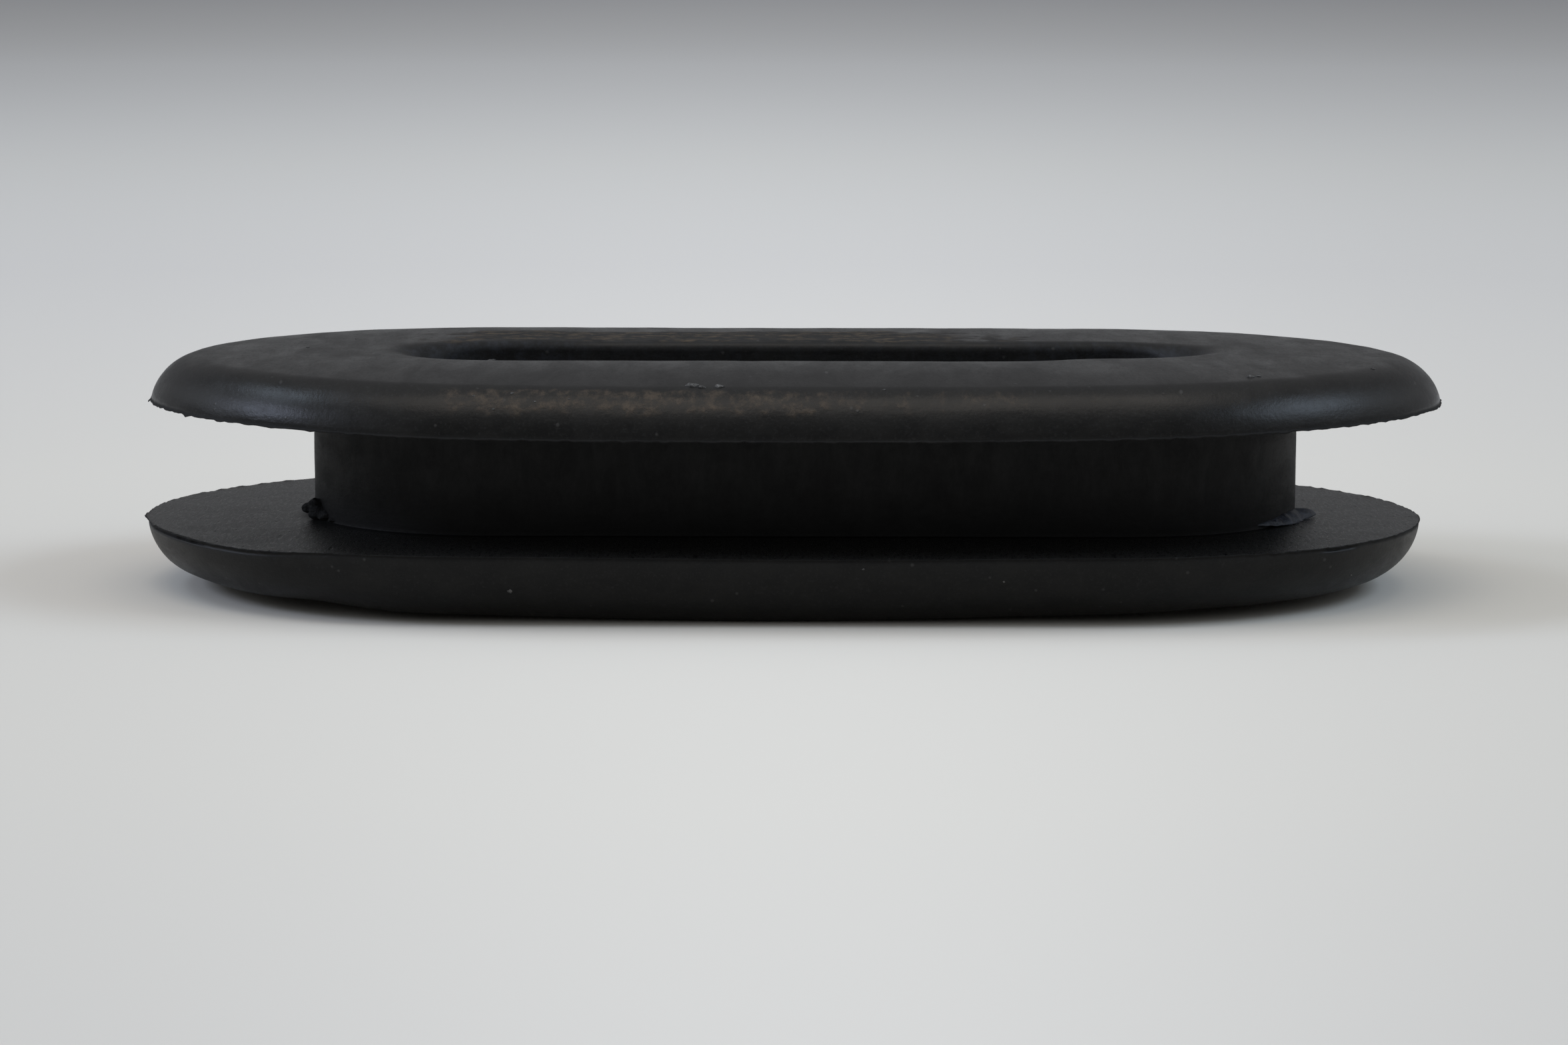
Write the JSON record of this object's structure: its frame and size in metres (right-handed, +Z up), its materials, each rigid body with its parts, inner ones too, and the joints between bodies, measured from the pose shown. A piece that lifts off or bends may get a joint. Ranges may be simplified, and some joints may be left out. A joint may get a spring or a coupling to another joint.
{
  "type": "rubber grommet",
  "caption": "Oval black rubber grommet with two domed flanges, a panel groove round its neck and a long rounded slot for cables.",
  "frame": {"origin": "the middle of the grommet's length and width, on the surface that it lies on, which touches the lower flange's flat land", "axes": "+X along the length of the grommet, +Y across it, +Z up through the slot from the lower flange to the upper one"},
  "size_m": [0.0542, 0.0286, 0.0098],
  "materials": {
    "black_rubber": "satin"
  },
  "bodies": {
    "root": {"grommet": "black_rubber"}
  },
  "joints": []
}
